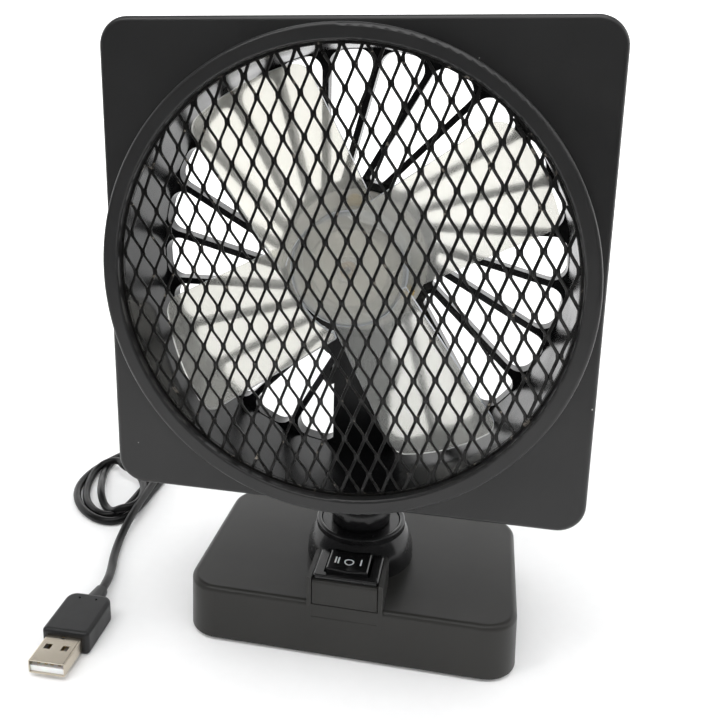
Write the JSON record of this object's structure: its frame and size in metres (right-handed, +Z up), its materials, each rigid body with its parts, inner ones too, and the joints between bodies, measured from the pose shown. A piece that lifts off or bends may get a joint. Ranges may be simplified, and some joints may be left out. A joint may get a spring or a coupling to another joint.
{
  "type": "usb desk fan",
  "caption": "Square-panel desk fan on a ball-jointed neck with a switched, weighted base, a mesh grille, a bladed impeller and a USB lead.",
  "frame": {"origin": "on the table, under the middle of the bounding box of everything but the lead", "axes": "+Z up, the fan blows towards -Y, +X is to the right seen from the front"},
  "size_m": [0.2108, 0.1693, 0.1984],
  "materials": {
    "base_shell": "satin charcoal moulding",
    "head_shell": "satin near-black moulding",
    "duct_black": "glossy black moulding",
    "gloss_black": "polished black moulding",
    "mesh_black": "black painted expanded steel",
    "frosted": "frosted translucent moulding",
    "rubber_black": "soft black rubber",
    "steel": "plain steel",
    "brass": "plain brass",
    "copper": "bare copper",
    "bronze": "sintered bronze",
    "carbon": "carbon and ferrite",
    "nylon": "natural nylon",
    "white_plastic": "white moulding",
    "wire_red": "red insulation",
    "cord_black": "matt black cable jacket",
    "plug_shell": "bright nickel plate",
    "resistor": "lacquered resistor"
  },
  "bodies": {
    "base": {"base_cover": "base_shell", "base_plate": "base_shell", "base_screws": "steel", "ballast_left": "steel", "ballast_right": "steel", "foot_front_left": "rubber_black", "foot_rear_left": "rubber_black", "foot_front_right": "rubber_black", "foot_rear_right": "rubber_black", "switch_panel": "base_shell", "switch_housing": "gloss_black", "switch_terminals": "brass", "speed_resistor": "resistor", "neck_collar": "gloss_black", "collar_screws": "steel", "feed_wire": "wire_red", "return_wire": "wire_red", "supply_wire": "wire_red", "lead_in": "cord_black", "cord_grommet": "cord_black", "cord_from_base": "cord_black", "cord_put_away": "cord_black", "cord_across": "cord_black", "cord_coil": "cord_black", "cord_to_plug": "cord_black", "usb_overmould": "cord_black", "usb_shell": "plug_shell", "usb_tongue": "white_plastic", "usb_contacts": "brass"},
    "rocker": {"switch_rocker": "gloss_black"},
    "swivel": {"ball_seat": "gloss_black", "hollow_bolt": "steel", "saddle_washer": "nylon", "tension_spring": "steel", "tension_washer": "steel", "tension_nut": "steel"},
    "head": {"neck_ball": "gloss_black", "front_panel": "head_shell", "grille_mesh": "mesh_black", "duct": "duct_black", "panel_screws": "steel", "rear_cover": "duct_black", "rear_cover_screws": "steel", "stem_cover": "head_shell", "stem_screws": "steel", "neck_screw": "steel", "motor_can": "steel", "motor_bracket": "steel", "motor_screws": "brass", "motor_end_cap": "nylon", "motor_bearing_front": "bronze", "motor_bearing_rear": "bronze", "motor_magnets": "carbon", "motor_brushes": "carbon", "motor_terminals": "brass", "motor_wires": "wire_red"},
    "fan": {"impeller": "frosted", "motor_shaft": "steel", "motor_armature": "copper", "motor_commutator": "copper"}
  },
  "joints": [
    {"name": "neck_swivel", "type": "hinge", "parent": "base", "child": "swivel", "pos_m": [0.0018, 0.00535, 0.0353], "axis": [0, 0, 1], "range_deg": [-60, 60]},
    {"name": "neck_tilt", "type": "hinge", "parent": "swivel", "child": "head", "pos_m": [0.0018, 0.00535, 0.0353], "axis": [-1, 0, 0], "range_deg": [-20, 30]},
    {"name": "fan_spin", "type": "hinge", "parent": "head", "child": "fan", "pos_m": [0, -0.03105, 0.1274], "axis": [0, -1, 0], "continuous": true},
    {"name": "switch_rock", "type": "hinge", "parent": "base", "child": "rocker", "pos_m": [0.0018, -0.01835, 0.0255], "axis": [0, 1, 0], "range_deg": [-9, 9]}
  ]
}
